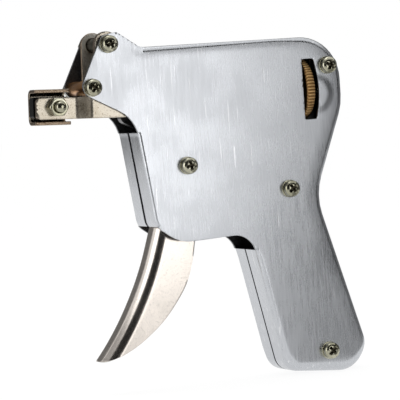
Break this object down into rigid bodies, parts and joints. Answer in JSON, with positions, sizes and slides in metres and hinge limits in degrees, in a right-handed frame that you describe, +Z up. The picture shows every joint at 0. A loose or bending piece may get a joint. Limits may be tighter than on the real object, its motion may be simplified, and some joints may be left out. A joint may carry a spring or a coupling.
{
  "type": "locksmith's manual snap gun",
  "caption": "Trigger-operated snap gun for pin locks: a sprung hammer strikes a pivoted needle holder, set by a thumbwheel.",
  "frame": {"origin": "the seat that a needle is clamped on, half way between the clamp stud and the holder's front end", "axes": "+X from the needle to the back, +Z up, -Y out of the side with the screw heads"},
  "size_m": [0.154, 0.0338, 0.1655],
  "materials": {
    "housing_steel": "satin, fine upright brushing, bright bends",
    "trigger_nickel": "bright nickel plate",
    "holder_nickel": "warm nickel plate, rough sheared edges",
    "zinc_steel": "yellowish zinc plate",
    "wheel_brass": "ribbed rim, dull brass",
    "sleeve_bronze": "brown bronze",
    "dark_steel": "dark hardened steel",
    "spring_steel": "drawn spring wire"
  },
  "bodies": {
    "housing": {"left_shell": "housing_steel", "right_shell": "housing_steel", "trigger_return_spring": "spring_steel", "main_spring": "spring_steel", "wheel_bracket": "zinc_steel", "holder_spacer": "zinc_steel", "trigger_spacer_left": "zinc_steel", "trigger_spacer_right": "zinc_steel", "hammer_spacer_left": "zinc_steel", "hammer_spacer_right": "zinc_steel", "needle_sleeve": "zinc_steel", "needle_screw": "zinc_steel", "needle_washer": "zinc_steel", "needle_spring_washer": "zinc_steel", "needle_nut": "zinc_steel", "stop_sleeve": "sleeve_bronze", "stop_screw": "zinc_steel", "stop_washer": "zinc_steel", "stop_spring_washer": "zinc_steel", "stop_nut": "zinc_steel", "trigger_sleeve": "zinc_steel", "trigger_screw": "zinc_steel", "trigger_washer": "zinc_steel", "trigger_spring_washer": "zinc_steel", "trigger_nut": "zinc_steel", "hammer_sleeve": "zinc_steel", "hammer_screw": "zinc_steel", "hammer_washer": "zinc_steel", "hammer_spring_washer": "zinc_steel", "hammer_nut": "zinc_steel", "rear_sleeve": "zinc_steel", "rear_screw": "zinc_steel", "rear_washer": "zinc_steel", "rear_spring_washer": "zinc_steel", "rear_nut": "zinc_steel", "butt_sleeve": "zinc_steel", "butt_screw": "zinc_steel", "butt_washer": "zinc_steel", "butt_spring_washer": "zinc_steel", "butt_nut": "zinc_steel"},
    "trigger": {"trigger": "trigger_nickel", "cocking_pin": "dark_steel"},
    "hammer": {"hammer": "dark_steel"},
    "holder": {"holder_frame": "holder_nickel", "clamp_plate": "holder_nickel", "needle_anvil": "dark_steel", "clamp_stud": "zinc_steel"},
    "clamp_nut": {"clamp_nut": "zinc_steel"},
    "wheel": {"thumbwheel": "wheel_brass", "tension_rod": "zinc_steel"},
    "slider": {"spring_slider": "dark_steel"}
  },
  "joints": [
    {"name": "trigger_pull", "type": "hinge", "parent": "housing", "child": "trigger", "pos_m": [0.06362, 0.0012, -0.03099], "axis": [0, -1, 0], "range_deg": [0, 22], "stiffness_Nm_per_rad": 0.6, "springref_deg": -11.46, "deforming": ["trigger_return_spring"]},
    {"name": "hammer_cock", "type": "hinge", "parent": "housing", "child": "hammer", "pos_m": [0.11412, 0.0012, -0.04549], "axis": [0, 1, 0], "range_deg": [0, 9], "deforming": ["main_spring"]},
    {"name": "holder_swing", "type": "hinge", "parent": "housing", "child": "holder", "pos_m": [0.02882, 0.0012, 0.02661], "axis": [0, -1, 0], "range_deg": [0, 8]},
    {"name": "clamp_nut_turn", "type": "hinge", "parent": "holder", "child": "clamp_nut", "pos_m": [0.00482, -0.0058, -0.00018], "axis": [0, -1, 0], "continuous": true},
    {"name": "wheel_turn", "type": "hinge", "parent": "housing", "child": "wheel", "pos_m": [0.12822, 0.0012, 0.00021], "axis": [1, 0, 0], "range_deg": [-720, 720]},
    {"name": "slider_travel", "type": "slide", "parent": "housing", "child": "slider", "axis": [1, 0, 0], "range_m": [-0.0021, 0.0021]}
  ],
  "couplings": [
    {"joint": "hammer_cock", "follows": "trigger_pull", "ratio": 0.38},
    {"joint": "holder_swing", "follows": "trigger_pull", "ratio": 0.35},
    {"joint": "slider_travel", "follows": "wheel_turn", "m_per_rad": 0.00015915}
  ]
}
